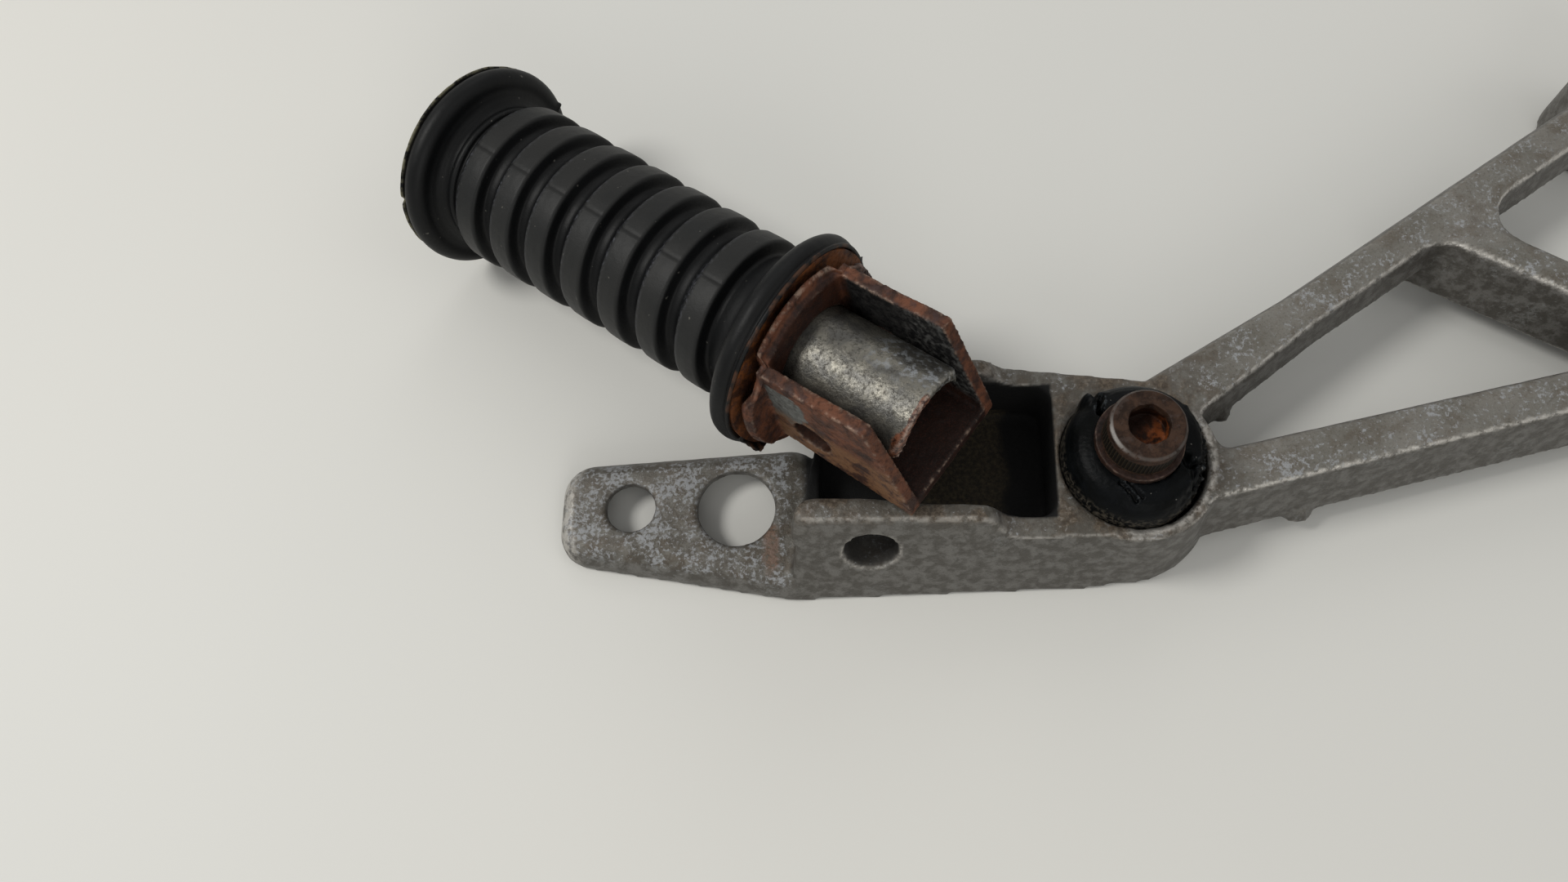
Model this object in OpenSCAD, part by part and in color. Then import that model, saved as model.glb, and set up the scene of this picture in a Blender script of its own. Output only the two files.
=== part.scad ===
// Footrest hanger: a drafted casting with a clevis, a drilled tab, a rubber
// damper seat and two truss arms, and the loose footrest that lies across it.
// Units are mm. The back plane of the casting is z = 0, the clevis axis runs
// along y through x = 0.

/* [Casting levels] */
// Height of the arms and the damper boss over the back plane
body_h = 21; // [16:0.5:28]
// Height of the clevis rims over the body top
rim_rise = 6.2; // [3:0.2:10]
// Height of the tab over the back plane
tab_h = 7; // [5:0.5:9]
// Level of the clevis pocket's floor
floor_h = 6; // [3:0.5:8]

/* [Clevis] */
// Gap between the clevis walls
gap_w = 27; // [26.8:0.2:36]
// Thickness of a clevis wall at its rim
rim_t = 3.6; // [2:0.2:6]
// Slope of the viewer's side of the clevis, as a part of the height
wall_slope_share = 0.3; // [0.05:0.01:0.35]
// Slope of the clevis's far side, as a part of the height
far_slope_share = 0.05; // [0.02:0.01:0.2]
// Diameter of the pivot hole in both walls
pivot_d = 10.5; // [6:0.1:12]
// Height of the pivot axis over the back plane
pivot_h = 16.8; // [15:0.2:19]
// Reach of the pocket from the pivot axis to the damper side
pocket_r = 35.6; // [26:0.2:35.6]
// Reach of the pocket from the pivot axis to the tab side
pocket_l = 10; // [7:0.5:10.5]
// Corner radius of the pocket
pocket_fil = 3.5; // [1:0.5:6]
// Length of the high part of a rim on the damper side of the pivot
rim_len = 19; // [12:0.5:24]
// Run of the step down from a rim to the body
step_run = 10; // [6:0.5:12]

/* [Tab] */
// Reach of the tab beyond the pivot axis
tab_reach = 64.4; // [60:0.2:90]
// Width of the tab at its round end
tab_end_w = 22; // [20:0.5:30]
// Width of the tab where it meets the clevis
tab_root_w = 31.6; // [26:0.2:36]
// Offset of the tab's centre line from the pivot's middle
tab_off = 9.4; // [6:0.2:10]
// Corner radius of the tab's end
tab_fil = 7; // [4:0.5:9]
// Plate thickness of the tab over its hollow back
tab_plate_t = 3; // [2:0.2:4]
// Edge thickness round the hollow back
tab_edge_t = 3.2; // [2:0.2:4]
// Small hole diameter
tab_small_d = 10.2; // [5:0.2:12]
// Large hole diameter
tab_large_d = 16; // [10:0.2:18]
// Place of the small hole, as a part of the tab's reach
tab_small_share = 0.7655; // [0.74:0.0005:0.79]
// Distance of the large hole from the pivot axis
tab_large_x = 27.4; // [27:0.5:31]

/* [Damper seat] */
// Distance of the damper axis from the pivot axis
damper_x = 50.8; // [50.8:0.2:58]
// Diameter of the damper bore
damper_d = 28.4; // [24:0.1:28.4]
// Wall of the damper boss at its top
boss_t = 2.6; // [1.6:0.2:5]
// Offset of the damper axis toward the viewer's side
damper_off = 1.7; // [0:0.1:3]

/* [Truss arms] */
// Place of the upper frame boss along the bracket
upper_x = 165; // [150:1:200]
// Place of the upper frame boss across the bracket
upper_y = 84.5; // [70:0.5:95]
// Place of the lower frame boss along the bracket
lower_x = 170; // [150:1:200]
// Place of the lower frame boss across the bracket
lower_y = 20.8; // [12:0.2:26]
// Width of the arms' top faces
arm_w = 8; // [5:0.2:10]
// Radius of the blend between the boss and the upper arm's far side
far_blend_r = 9; // [4:0.5:14]
// Radius of the blend between the boss and the lower arm, in the window
window_blend_r = 3.2; // [2:0.2:5]
// Radius of the blend between the boss and the lower arm's near side
near_blend_r = 10; // [4:0.5:14]
// Diameter of the small cast pad at the upper arm's lower edge
upper_pad_d = 4.8; // [3:0.2:7]
// Diameter of the small cast pad at the lower arm's lower edge
lower_pad_d = 7.2; // [4:0.2:9]
// Depth of the upper arm
upper_arm_t = 9; // [6:0.5:14]
// Depth of the brace between the arms
brace_t = 15; // [9:0.5:16]
// Corner radius in the windows between the arms
web_fil = 6.5; // [2:0.5:8]
// Depth of the lower arm
lower_arm_t = 15.5; // [9:0.5:16]
// Slope of the arms' sides, as a part of their depth
arm_slope_share = 0.2; // [0.02:0.01:0.25]
// Where the brace leaves the upper arm, as a part of the arm's length
brace_share = 0.58; // [0.5:0.005:0.7]
// Diameter of the frame bosses
frame_boss_d = 22; // [18:0.5:30]
// Diameter of the frame holes
frame_hole_d = 10.5; // [6:0.1:12]

/* [Damper and bolt] */
// Rise of the damper rubber over the body
damper_rise = 7; // [3:0.5:10]
// Thread diameter of the bolt
bolt_d = 10; // [8:0.5:10]
// Diameter of the bolt's head
head_d = 16; // [14:0.2:18]
// Height of the bolt's head
head_h = 6; // [5:0.2:9]
// Width across the flats of the hex socket
hex_w = 7; // [5:0.1:8]
// Depth of the hex socket
hex_depth = 3.5; // [2:0.2:4]
// Length of the bolt under its head
bolt_len = 25; // [18:1:28]
// Wall of the steel sleeve
sleeve_t = 2.2; // [1.5:0.1:2.6]
// Radial width of the sleeve's collar past the sleeve
collar_w = 2; // [1:0.2:2.6]
// Thickness of the sleeve's collar
collar_t = 1.8; // [1:0.1:2.5]

/* [Footrest rubber] */
// Number of ribs
rib_n = 7; // [4:1:8]
// Distance from one rib to the next
rib_pitch = 9.95; // [8:0.05:12]
// Width of a rib's crest
rib_w = 5.6; // [4:0.1:6.5]
// Diameter over the rib next to the outer flange
rib_d = 34.8; // [32:0.2:40]
// Loss of rib diameter down to the yoke end
rib_taper = 1.8; // [0:0.1:2.4]
// Depth of the grooves between ribs
groove_depth = 2.6; // [1:0.1:3.2]
// Diameter of the two end flanges
flange_d = 43.8; // [38:0.2:50]
// Thickness of a flange's bead
bead_t = 5; // [4:0.2:6]
// Length of the plain neck by each flange
neck_len = 7; // [6:0.2:10]
// Loss of the yoke end's neck against the outer one
neck_loss = 0.8; // [0:0.1:1.5]

/* [Footrest metal] */
// Width over the yoke's ears
yoke_w = 26.8; // [25:0.2:26.8]
// Thickness of the yoke's sheet
sheet_t = 2.7; // [2:0.1:2.8]
// Height of the ears' top edge over the footrest axis
ear_top = 14.8; // [12.8:0.2:17]
// Length of the ears' top edge from the end plate's outer face
ear_top_len = 22.8; // [17:0.2:26]
// Length of the ears' bottom edge from the end plate's outer face
ear_len = 29.8; // [27:0.2:34]
// Depth of the yoke's underside below the axis at the end plate
under_near = 9.3; // [9:0.1:9.5]
// Fall of the underside over the yoke's length
under_fall = 2.8; // [1:0.1:3]
// Diameter of the pin holes in the ears
pin_d = 8.2; // [5:0.1:8.4]
// Distance of the pin holes from the end plate's outer face
pin_x = 8.6; // [7.4:0.2:12]
// Height of the pin holes' axis against the footrest axis
pin_drop = 2.2; // [1:0.1:2.6]
// Diameter of the core tube
core_d = 21.2; // [16:0.2:21.2]
// Wall of the core tube
core_t = 2; // [1:0.1:2.5]
// Length of the half-round tongue past the end plate
tongue_len = 26.6; // [18:0.2:28]
// Diameter of the rust-brown washer
washer_d = 40.6; // [30:0.2:42]
// Thickness of the washer
washer_t = 1; // [0.8:0.1:1.2]
// Gap between the washer and the yoke's end plate
shoulder_t = 1; // [0.5:0.1:2]

/* [Rest] */
// Turn of the loose footrest about the upright
rest_yaw = 143.84; // [143:0.1:145]
// Descent of the loose footrest to its outer end
rest_pitch = 9.35; // [9.2:0.05:9.5]
// Roll of the loose footrest about its own axis
rest_roll = -1.75; // [-2:0.05:-1.5]

/* [Hidden] */
// Overrun of each cut past the face it opens
cut_over = 0.5;
// Slip fit of a round piece in its hole, on the radius
slip = 0.05;
// Depth by which a blend's ends sink into the forms that it joins, as a
// part of its radius
sink_share = 0.06;
// Radius of the casting's softened top edges
edge_r = 1.4;
// Thickness of a slice that shapes a drafted form
slice_t = 0.05;
// Facets of the slices' corners
slice_fn = 24;
// Facets of true rounds
round_fn = 96;
// Rise of the clevis rims' tops and of the bodies in them
rim_h = body_h + rim_rise;
half_gap = gap_w / 2;
half_top = half_gap + rim_t;
half_base = half_top + wall_slope_share * rim_h;
far_base = half_top + far_slope_share * rim_h;
// Left end of the walls at the top and at the back
end_top_x = -pocket_l - rim_t;
end_base_x = end_top_x - edge_r * 2;
// The far wall's end leans away from the footrest that lies across it
far_end_in = end_top_x + rim_t * 1.2;
far_end_out = end_top_x + rim_t * 2.15;
// The body narrows to the damper boss
boss_top_r = damper_d / 2 + boss_t;
boss_base_r = boss_top_r + arm_slope_share * body_h * 0.7;
// Loss of half width from the tab side to the damper
block_taper = rim_t;
// Level of the sill that closes the pocket at the tab side
sill_h = tab_h + 4 * edge_r;
// Facets of the arcs in the step profile
arc_n = 10;

// Which piece is drawn

// A thin flat slice of an outline at a level
module slice(z) {
    translate([0, 0, z])
        linear_extrude(slice_t)
            children();
}

// A rectangle with round corners between two corners
module round_box(x0, x1, y0, y1, r) {
    translate([x0 + r, y0 + r])
        offset(r = r, $fn = slice_fn)
            square([x1 - x0 - 2 * r, y1 - y0 - 2 * r]);
}

// Clevis block outline at one level: left end, two half widths and the
// loss of width toward the damper
module block_plan(left, near_half, far_half, taper, inset) {
    offset(r = edge_r - inset, $fn = slice_fn)
        polygon([
            [left + edge_r, -near_half + edge_r],
            [damper_x - edge_r * 4, -near_half + taper * 0.8 + edge_r],
            [damper_x + edge_r * 3, -near_half + taper * 1.4 + edge_r],
            [damper_x, far_half - block_taper],
            [rim_len + step_run, far_half - edge_r],
            [far_end_out + edge_r, far_half - edge_r],
            [far_end_in + edge_r, half_gap]
        ]);
}

// Side view of the block: sloping end, high rim, S-shaped step, body
module block_profile() {
    // Each half of the S is an arc of this angle over half the run
    step_a = 2 * atan(rim_rise / step_run);
    step_r = step_run / 2 / sin(step_a);
    top_c = [rim_len, rim_h - step_r];
    low_c = [rim_len + step_run, body_h + step_r];
    polygon(concat(
        [[end_base_x - cut_over, -cut_over],
         [end_base_x - cut_over, rim_h]],
        [for (i = [0 : arc_n])
            let (a = step_a * i / arc_n)
            top_c + step_r * [sin(a), cos(a)]],
        [for (i = [1 : arc_n])
            let (a = step_a * (1 - i / arc_n))
            low_c - step_r * [sin(a), cos(a)]],
        [[damper_x + boss_base_r, body_h],
         [damper_x + boss_base_r, -cut_over]]
    ));
}

module clevis_block() {
    intersection() {
        hull() {
            slice(0) block_plan(end_base_x, half_base, far_base, block_taper, 0);
            slice(rim_h - edge_r) block_plan(end_top_x, half_top, half_top, edge_r, 0);
            slice(rim_h - slice_t) block_plan(end_top_x, half_top, half_top, edge_r, edge_r * 0.7);
        }
        translate([0, half_base + cut_over, 0])
            rotate([90, 0, 0])
                linear_extrude(2 * (half_base + cut_over))
                    block_profile();
    }
}

// Plan of the tab, shrunk all round by an inset
module tab_plan(inset) {
    root_x = end_base_x + tab_fil;
    end_x = -tab_reach;
    offset(r = tab_fil - inset, $fn = 2 * slice_fn)
        polygon([
            [end_x + tab_fil, -tab_off + tab_end_w / 2 - tab_fil + edge_r],
            [end_x + tab_fil, -tab_off - tab_end_w / 2 + tab_fil + edge_r],
            [root_x - tab_fil, -tab_off - tab_root_w / 2 + tab_fil],
            [root_x - tab_fil, -tab_off + tab_root_w / 2 - tab_fil]
        ]);
}

module tab_form() {
    hull() {
        slice(0) tab_plan(0);
        slice(tab_h * 0.45) tab_plan(edge_r * 0.15);
        slice(tab_h - edge_r) tab_plan(edge_r);
        slice(tab_h - slice_t) tab_plan(edge_r * 2.2);
    }
}

module tab_cuts() {
    // Hollow back, up to the clevis block
    translate([0, 0, -cut_over])
        linear_extrude(tab_h - tab_plate_t + cut_over)
            intersection() {
                tab_plan(tab_edge_t);
                translate([-tab_reach, -tab_reach])
                    square([tab_reach + end_base_x, 2 * tab_reach]);
            }
    for (hole = [[tab_small_share * tab_reach, tab_small_d], [tab_large_x, tab_large_d]])
        translate([-hole[0], -tab_off + edge_r * 1.35, -cut_over])
            cylinder(h = tab_h + 2 * cut_over, d = hole[1], $fn = round_fn);
}

// One end of an arm: a drafted round post with a softened top edge
module arm_post(at, w, depth) {
    translate([at[0], at[1], body_h - depth])
        cylinder(h = depth - edge_r, r1 = w / 2 + arm_slope_share * depth,
                 r2 = w / 2, $fn = slice_fn);
    translate([at[0], at[1], body_h - edge_r])
        cylinder(h = edge_r, r1 = w / 2, r2 = w / 2 - edge_r * 0.6, $fn = slice_fn);
}

module arm(from, to, w0, w1, depth) {
    hull() {
        arm_post(from, w0, depth);
        arm_post(to, w1, depth);
    }
}

// Ends of the arms
upper_root = [damper_x, -damper_off + boss_top_r * 0.4];
lower_root = [damper_x, -damper_off - boss_top_r * 0.42];
upper_end = [upper_x, upper_y];
lower_end = [lower_x, lower_y];
brace_root = upper_root + brace_share * (upper_end - upper_root);
// The upper arm widens toward the damper boss over this part of its length
flare_share = 0.34;
// Parts of the named arm width: upper arm's root and flare end, lower arm's
// root, brace's end at the lower frame boss
root_w_share = 1.62;
flare_w_share = 0.98;
lower_w_share = 1.25;
brace_w_share = 0.9;
boss_at = [damper_x, -damper_off];
// The pads' centres: parts of the arms' lengths along their middle lines and
// parts of the arm width out from them
upper_pad_shares = [0.147, 0.79];
lower_pad_shares = [0.284, 0.78];
// Fall of the pads below the arms' undersides, and their rise over them
pad_fall = 1.2;
pad_rise = 1.6;

// Rounds the corner at the brace's root between two arms that run along
// directions u and v
module web_corner(u, v, depth) {
    a0 = atan2(u[1], u[0]);
    turn = (atan2(v[1], v[0]) - a0 + 540) % 360 - 180;
    half_turn = abs(turn) / 2;
    mid = a0 + turn / 2;
    edge_d = arm_w / 2;
    // Distance from the root to the corner of the arms' edges, then on to
    // the round's centre
    corner_d = edge_d / sin(half_turn);
    centre_d = (edge_d + web_fil) / sin(half_turn);
    tangent_d = (centre_d - corner_d) * cos(half_turn);
    corner = brace_root + corner_d * [cos(mid), sin(mid)];
    translate([0, 0, body_h - depth])
        linear_extrude(depth - edge_r * 0.4)
            difference() {
                polygon([
                    brace_root,
                    corner + tangent_d * [cos(mid - half_turn), sin(mid - half_turn)],
                    brace_root + centre_d * [cos(mid), sin(mid)],
                    corner + tangent_d * [cos(mid + half_turn), sin(mid + half_turn)]
                ]);
                translate(brace_root + centre_d * [cos(mid), sin(mid)])
                    circle(r = web_fil, $fn = round_fn);
            }
}

// Blends one side of an arm into the damper boss with a hollow round of
// radius f. The side is 1 to the left of the arm's run and -1 to its right.
module boss_blend(from, to, w0, w1, side, f, depth) {
    run = to - from;
    across = side * [-run[1], run[0]] / norm(run);
    sink = sink_share * f;
    edge_from = from + across * (w0 / 2 - sink);
    edge_run = to + across * (w1 / 2 - sink) - edge_from;
    u = edge_run / norm(edge_run);
    n = side * [-u[1], u[0]];
    p = edge_from - boss_at;
    // Foot of the round on the arm's edge, then the round's centre
    foot = edge_from + u * (sqrt(pow(boss_top_r - sink + f, 2) - pow(p * n + f, 2)) - p * u);
    mid = foot + n * f;
    translate([0, 0, body_h - depth])
        linear_extrude(depth - edge_r * 0.4)
            difference() {
                polygon([boss_at, foot, mid]);
                translate(mid)
                    circle(r = f, $fn = round_fn);
            }
}

// Round pad at an arm's lower edge, on the right of the arm's run
module edge_pad(from, to, shares, pad_d, depth) {
    run = to - from;
    right = [run[1], -run[0]] / norm(run);
    at = from + shares[0] * run + shares[1] * arm_w * right;
    translate([at[0], at[1], body_h - depth - pad_fall])
        cylinder(h = pad_fall + pad_rise, d1 = pad_d, d2 = pad_d - 2 * pad_rise, $fn = round_fn);
}

module truss() {
    flare_end = upper_root + flare_share * (upper_end - upper_root);
    root_w = arm_w * root_w_share;
    flare_w = arm_w * flare_w_share;
    lower_w = arm_w * lower_w_share;
    arm(upper_root, upper_end, arm_w, arm_w, upper_arm_t);
    arm(upper_root, flare_end, root_w, flare_w, upper_arm_t);
    arm(lower_root, lower_end, lower_w, arm_w, lower_arm_t);
    arm(brace_root, lower_end, arm_w, arm_w * brace_w_share, brace_t);
    boss_blend(upper_root, flare_end, root_w, flare_w, 1, far_blend_r, upper_arm_t);
    boss_blend(lower_root, lower_end, lower_w, arm_w, 1, window_blend_r, lower_arm_t);
    boss_blend(lower_root, lower_end, lower_w, arm_w, -1, near_blend_r, lower_arm_t);
    edge_pad(upper_root, upper_end, upper_pad_shares, upper_pad_d, upper_arm_t);
    edge_pad(lower_root, lower_end, lower_pad_shares, lower_pad_d, lower_arm_t);
    web_corner(upper_end - upper_root, lower_end - brace_root, upper_arm_t);
    web_corner(upper_root - upper_end, lower_end - brace_root, upper_arm_t);
    for (at = [upper_end, lower_end])
        translate([at[0], at[1], 0])
            cylinder(h = body_h, d = frame_boss_d, $fn = round_fn);
}

module damper_boss() {
    translate([damper_x, -damper_off, 0])
        cylinder(h = body_h - edge_r / 2, r1 = boss_base_r, r2 = boss_top_r, $fn = round_fn);
    translate([damper_x, -damper_off, body_h - edge_r / 2])
        cylinder(h = edge_r / 2, r1 = boss_top_r, r2 = boss_top_r - edge_r / 2, $fn = round_fn);
}

module pocket_cut() {
    translate([0, 0, floor_h])
        linear_extrude(rim_h)
            round_box(-pocket_l, pocket_r, -half_gap, half_gap, pocket_fil);
    // Open end over the sill
    translate([end_base_x - cut_over, -half_gap, sill_h])
        cube([-end_base_x + cut_over, gap_w, rim_h]);
}

module bracket_casting() {
    color([0.58, 0.57, 0.55])
        difference() {
            union() {
                clevis_block();
                tab_form();
                truss();
                damper_boss();
            }
            tab_cuts();
            pocket_cut();
            translate([0, half_base + cut_over, pivot_h])
                rotate([90, 0, 0])
                    cylinder(h = 2 * (half_base + cut_over), d = pivot_d, $fn = round_fn);
            translate([damper_x, -damper_off, -cut_over])
                cylinder(h = rim_h, d = damper_d, $fn = round_fn);
            for (at = [upper_end, lower_end])
                translate([at[0], at[1], -cut_over])
                    cylinder(h = body_h + 2 * cut_over, d = frame_hole_d, $fn = round_fn);
        }
}

// Damper: sleeve radii grow from the bolt
sleeve_in_r = bolt_d / 2 + 2 * slip;
sleeve_out_r = sleeve_in_r + sleeve_t;
rubber_out_r = damper_d / 2 - slip;
rubber_in_r = sleeve_out_r + slip;
rubber_top_h = body_h + damper_rise;
// The bolt head sits on the collar
head_z = rubber_top_h + collar_t;
// Level of the damper's foot
damper_foot = damper_rise / 4;
// The dome's steps: parts of the rubber's width inward and of its rise
dome_shares = [[0, 0.1], [0.05, 0.4], [0.225, 0.72], [0.515, 0.93], [0.77, 1]];
// Turn of the hex socket
hex_turn = 18;

module damper_rubber() {
    color([0.05, 0.05, 0.055])
        translate([damper_x, -damper_off, 0])
            rotate_extrude($fn = round_fn)
                polygon(concat(
                    [[rubber_in_r, damper_foot],
                     [rubber_out_r - edge_r, damper_foot],
                     [rubber_out_r, damper_foot + edge_r]],
                    [for (d = dome_shares)
                        [rubber_out_r - d[0] * (rubber_out_r - rubber_in_r),
                         body_h + d[1] * damper_rise]],
                    [[rubber_in_r, rubber_top_h]]
                ));
}

module damper_sleeve() {
    color([0.35, 0.24, 0.18])
        translate([damper_x, -damper_off, 0])
            rotate_extrude($fn = round_fn)
                polygon([
                    [sleeve_in_r, damper_foot],
                    [sleeve_out_r, damper_foot],
                    [sleeve_out_r, rubber_top_h],
                    [sleeve_out_r + collar_w, rubber_top_h],
                    [sleeve_out_r + collar_w, head_z],
                    [sleeve_in_r, head_z]
                ]);
}

module damper_bolt() {
    chamfer = head_h / 8;
    color([0.4, 0.26, 0.18])
        translate([damper_x, -damper_off, head_z])
            difference() {
                rotate_extrude($fn = round_fn)
                    polygon([
                        [0, -bolt_len],
                        [bolt_d / 2 - chamfer, -bolt_len],
                        [bolt_d / 2, -bolt_len + chamfer],
                        [bolt_d / 2, 0],
                        [head_d / 2, 0],
                        [head_d / 2, head_h - chamfer],
                        [head_d / 2 - chamfer, head_h],
                        [0, head_h]
                    ]);
                translate([0, 0, head_h - hex_depth])
                    rotate([0, 0, hex_turn])
                        cylinder(h = hex_depth + cut_over, d = hex_w / cos(30), $fn = 6);
            }
}

// Footrest stations along its own axis, zero at the last rib by the yoke
bead_r = bead_t / 2;
in_bead_s = -neck_len + neck_loss - bead_r;
in_face_s = in_bead_s - bead_r;
last_rib_s = (rib_n - 1) * rib_pitch;
out_bead_s = last_rib_s + rib_w + neck_len + bead_r;
out_face_s = out_bead_s + bead_r;
plate_s = in_face_s - washer_t - shoulder_t;
yoke_s = plate_s - sheet_t;
tip_s = yoke_s - ear_len;
core_r = core_d / 2;
washer_face_s = in_face_s - washer_t;
rib_taper_r = rib_taper / 2;

// Radius over the ribs at a station
function crest_r(s) = rib_d / 2 - rib_taper_r * (1 - s / last_rib_s);
// Height of the yoke's underside at a distance from the end plate
function under_h(d) = -under_near - under_fall * d / ear_len;

// Rest place of the footrest's station zero: along the bracket from the
// pivot, out from the far rim's outer face, and up from the rims' tops
rest_along = -23.1;
rest_out = 4.85;
rest_up = 6.8;

// Places a child built along the footrest's own axis into its rest pose
module at_rest() {
    translate([rest_along, half_top + rest_out, rim_h + rest_up])
        rotate([rest_roll, rest_pitch, rest_yaw])
            children();
}

// Turns a profile about the footrest's own axis
module turned() {
    rotate([0, 90, 0])
        rotate_extrude($fn = round_fn)
            children();
}

// One rib's crest with softened corners
function rib_points(s) = let (r = crest_r(s), g = r - groove_depth, c = rib_w / 8) [
    [g, s - c / 2], [r - c, s], [r, s + c], [r, s + rib_w - c],
    [r - c, s + rib_w], [g, s + rib_w + c / 2]
];

// Half-round bead of a flange round a station
function bead_points(s, n) = [
    for (i = [0 : n])
        let (a = -90 + 180 * i / n)
        [flange_d / 2 - bead_r + bead_r * cos(a), s + bead_r * sin(a)]
];

module peg_rubber() {
    neck_r = crest_r(0) - groove_depth * 0.8;
    far_neck_r = rib_d / 2 - groove_depth * 0.8;
    color([0.05, 0.05, 0.055])
        at_rest()
            turned()
                polygon(concat(
                    [[core_r + slip, in_face_s]],
                    bead_points(in_bead_s, 12),
                    [[neck_r + bead_r, in_bead_s + bead_r], [neck_r, in_bead_s + bead_t]],
                    [for (i = [0 : rib_n - 1]) each rib_points(i * rib_pitch)],
                    [[far_neck_r, out_bead_s - bead_t], [far_neck_r + bead_r, out_bead_s - bead_r]],
                    bead_points(out_bead_s, 12),
                    [[0, out_face_s], [0, out_bead_s - bead_r], [core_r + slip, out_bead_s - bead_r]]
                ));
}

module peg_washer() {
    color([0.55, 0.3, 0.15])
        at_rest()
            turned()
                polygon([
                    [core_r + slip, washer_face_s],
                    [washer_d / 2, washer_face_s],
                    [washer_d / 2, in_face_s],
                    [core_r + slip, in_face_s]
                ]);
}

module peg_core() {
    color([0.6, 0.59, 0.56])
        at_rest()
            union() {
                turned()
                    polygon([
                        [core_r - core_t, plate_s],
                        [core_r, plate_s],
                        [core_r, out_bead_s - bead_r - slip],
                        [core_r - core_t, out_bead_s - bead_r - slip]
                    ]);
                // Shoulder that parts the washer and the yoke
                turned()
                    polygon([
                        [core_r - core_t, plate_s],
                        [core_r + core_t, plate_s],
                        [core_r + core_t, washer_face_s],
                        [core_r - core_t, washer_face_s]
                    ]);
                // Half-round tongue through the yoke
                intersection() {
                    translate([plate_s - sheet_t - tongue_len, 0, 0])
                        rotate([0, 90, 0])
                            difference() {
                                cylinder(h = tongue_len + sheet_t + slip, r = core_r, $fn = round_fn);
                                translate([0, 0, -cut_over])
                                    cylinder(h = tongue_len + sheet_t + 2 * cut_over,
                                             r = core_r - core_t, $fn = round_fn);
                            }
                    translate([0, 0, core_t / 2])
                        linear_extrude(core_d)
                            round_box(plate_s - sheet_t - tongue_len, plate_s + 2 * core_t,
                                      -core_r - slip, core_r + slip, core_t * 2.2);
                }
            }
}

// Side view of the yoke, the end plate's outer face at zero, the tip at minus
module yoke_side() {
    polygon([
        [sheet_t, under_h(0)],
        [sheet_t, ear_top],
        [-ear_top_len, ear_top],
        [-ear_len, under_h(ear_len) + sheet_t],
        [-ear_len, under_h(ear_len)]
    ]);
}

module peg_yoke() {
    half_w = yoke_w / 2;
    inner_w = yoke_w - 2 * sheet_t;
    color([0.4, 0.25, 0.17])
        at_rest()
            translate([yoke_s, 0, 0])
                difference() {
                    union() {
                        difference() {
                            translate([0, half_w, 0])
                                rotate([90, 0, 0])
                                    linear_extrude(yoke_w)
                                        yoke_side();
                            // Room between the ears, over the sloping base
                            translate([0, inner_w / 2, 0])
                                rotate([90, 0, 0])
                                    linear_extrude(inner_w)
                                        polygon([
                                            [0, under_h(0) + sheet_t],
                                            [0, ear_top + cut_over],
                                            [-ear_len - cut_over, ear_top + cut_over],
                                            [-ear_len - cut_over, under_h(ear_len + cut_over) + sheet_t]
                                        ]);
                        }
                        // Round end plate with a flat top
                        intersection() {
                            rotate([0, 90, 0])
                                cylinder(h = sheet_t, d = washer_d - 2 * edge_r, $fn = round_fn);
                            translate([0, -washer_d, under_h(0)])
                                cube([sheet_t, 2 * washer_d, ear_top - under_h(0)]);
                        }
                    }
                    // The tongue's way through the end plate
                    translate([-cut_over, 0, 0])
                        rotate([0, 90, 0])
                            cylinder(h = sheet_t + 2 * cut_over, r = core_r + slip, $fn = round_fn);
                    // Pin holes
                    translate([-pin_x, half_w + cut_over, -pin_drop])
                        rotate([90, 0, 0])
                            cylinder(h = yoke_w + 2 * cut_over, d = pin_d, $fn = round_fn);
                }
}

bracket_casting();
damper_rubber();
damper_sleeve();
damper_bolt();
peg_rubber();
peg_washer();
peg_core();
peg_yoke();
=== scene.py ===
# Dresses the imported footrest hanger: a weathered casting, torn damper rubber,
# rusty steel and a ribbed rubber grip, on a plain pale floor.
import math

import bmesh
import bpy
import numpy as np
from mathutils import Euler, Matrix, Vector, noise


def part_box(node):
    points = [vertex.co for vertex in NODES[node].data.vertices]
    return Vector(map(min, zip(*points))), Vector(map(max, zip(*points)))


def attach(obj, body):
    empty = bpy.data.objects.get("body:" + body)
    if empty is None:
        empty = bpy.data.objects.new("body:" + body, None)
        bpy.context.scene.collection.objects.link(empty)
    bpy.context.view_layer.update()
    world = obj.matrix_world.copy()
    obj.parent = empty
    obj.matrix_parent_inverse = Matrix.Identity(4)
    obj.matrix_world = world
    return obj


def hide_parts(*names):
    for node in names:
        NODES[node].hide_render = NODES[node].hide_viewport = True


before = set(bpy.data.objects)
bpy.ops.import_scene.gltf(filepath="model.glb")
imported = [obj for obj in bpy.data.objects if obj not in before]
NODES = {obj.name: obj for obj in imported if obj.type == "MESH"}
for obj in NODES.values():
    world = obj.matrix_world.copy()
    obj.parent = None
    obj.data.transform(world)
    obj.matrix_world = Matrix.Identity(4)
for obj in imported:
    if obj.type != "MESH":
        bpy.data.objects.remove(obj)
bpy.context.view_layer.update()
MM = 0.001
scene = bpy.context.scene

# Rest pose of the footrest's own axis in the part's frame
REST_AT = (-23.1, 21.95, 34.0)
REST_TURN = (-1.75, 9.35, 143.84)
DAMPER_AT = (50.8, -1.7)
SCREW_OFF = (-0.7, 0.5)
REST = Matrix.Translation(Vector(REST_AT) * MM) @ Euler(
    [math.radians(a) for a in REST_TURN], "XYZ").to_matrix().to_4x4()


# Colours and small helpers

def tone(r, g, b):
    """A screen colour of 0 to 255 as linear light."""
    return tuple((c / 255 / 12.92) if c < 10.3 else ((c / 255 + 0.055) / 1.055) ** 2.4
                 for c in (r, g, b))


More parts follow.
